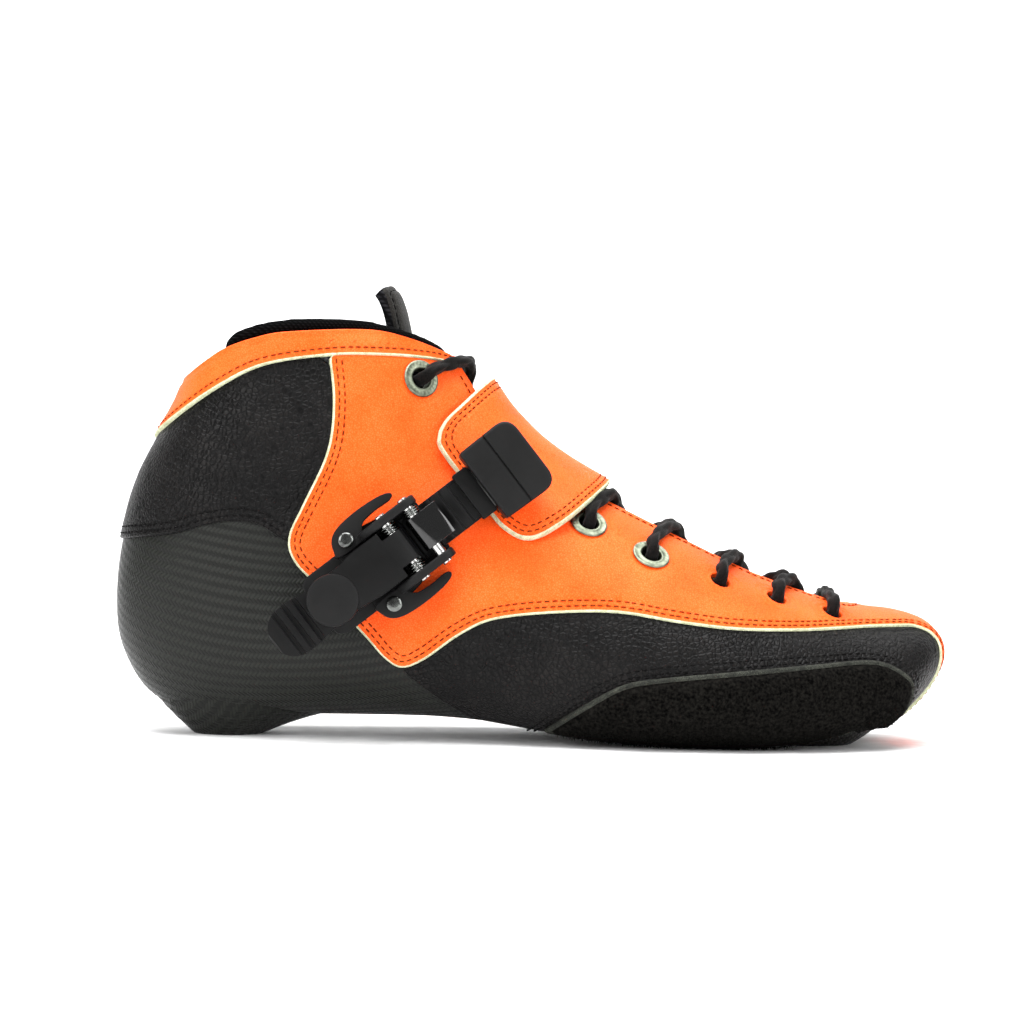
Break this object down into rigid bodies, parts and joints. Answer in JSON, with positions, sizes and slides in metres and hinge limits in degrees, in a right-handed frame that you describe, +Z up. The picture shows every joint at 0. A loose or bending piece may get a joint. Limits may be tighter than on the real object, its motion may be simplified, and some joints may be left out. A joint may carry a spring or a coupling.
{
  "type": "speed skate boot",
  "caption": "Low-cut speed-skate boot: carbon shell, stitched upper, laced throat and a ratchet instep strap, made to take a frame under its sole.",
  "frame": {"origin": "centre of the heel mount's bottom face", "axes": "+X to the toe, +Y to the inner side of the right foot, +Z up"},
  "size_m": [0.2909, 0.1106, 0.153],
  "materials": {
    "carbon": "woven carbon under satin lacquer",
    "orange_leather": "smooth microfibre leather",
    "black_leather": "fine pebble grain",
    "knit": "padded knit",
    "pile": "short napped pile",
    "lining": "brushed lining",
    "foam": "moulded foam under cloth",
    "black_plastic": "fine moulded texture",
    "steel": "bright",
    "pewter": "pewter plate",
    "lace_cord": "round braid"
  },
  "bodies": {
    "boot": {"carbon_shell": "carbon", "heel_insert": "steel", "forefoot_insert": "steel", "upper_reinforcement": "foam", "eyelet_stay_lateral": "foam", "eyelet_stay_medial": "foam", "lining_lateral": "lining", "lining_medial": "lining", "footbed": "foam", "ankle_panel": "black_leather", "collar_band": "orange_leather", "vamp_quarters": "orange_leather", "toe_rand_lateral": "black_leather", "abrasion_patch_lateral": "pile", "toe_rand_medial": "black_leather", "abrasion_patch_medial": "pile", "collar_lip": "knit", "tongue": "black_leather", "eyelet_lateral_1": "pewter", "eyelet_medial_1": "pewter", "eyelet_lateral_2": "pewter", "eyelet_medial_2": "pewter", "eyelet_lateral_3": "pewter", "eyelet_medial_3": "pewter", "eyelet_lateral_4": "pewter", "eyelet_medial_4": "pewter", "eyelet_lateral_5": "pewter", "eyelet_medial_5": "pewter", "lace": "lace_cord", "lace_end_lateral": "lace_cord", "aglet_lateral": "black_plastic", "lace_end_medial": "lace_cord", "aglet_medial": "black_plastic", "instep_strap": "orange_leather", "buckle_pad": "black_plastic", "buckle_base": "black_plastic", "base_rivet_lower": "steel", "base_rivet_upper": "steel", "lever_axle": "steel", "lock_axle": "steel", "lever_spring_lower": "steel", "lever_spring_upper": "steel"},
    "ladder": {"ladder_strap": "black_plastic", "strap_end_block": "black_plastic", "ladder_rivet": "steel"},
    "lever": {"ratchet_lever": "black_plastic", "drive_pawl_pin": "steel"},
    "drive_pawl": {"drive_pawl": "black_plastic", "drive_spring": "steel"},
    "lock_pawl": {"lock_pawl": "black_plastic", "lock_spring": "steel"}
  },
  "joints": [
    {"name": "ladder_slide", "type": "slide", "parent": "boot", "child": "ladder", "axis": [0.7818, 0.0872, 0.6174], "range_m": [0, 0.032], "deforming": ["instep_strap"]},
    {"name": "lever_hinge", "type": "hinge", "parent": "boot", "child": "lever", "pos_m": [0.05879, -0.05208, 0.06677], "axis": [-0.6198, 0, 0.7848], "range_deg": [0, 95], "stiffness_Nm_per_rad": 0.05, "springref_deg": -20.05},
    {"name": "drive_pawl_hinge", "type": "hinge", "parent": "lever", "child": "drive_pawl", "pos_m": [0.05334, -0.05289, 0.06246], "axis": [-0.6198, 0, 0.7848], "range_deg": [0, 18], "stiffness_Nm_per_rad": 0.004, "springref_deg": -11.46},
    {"name": "lock_pawl_hinge", "type": "hinge", "parent": "boot", "child": "lock_pawl", "pos_m": [0.06591, -0.05129, 0.07239], "axis": [-0.6198, 0, 0.7848], "range_deg": [0, 25], "stiffness_Nm_per_rad": 0.02, "springref_deg": -17.19}
  ]
}
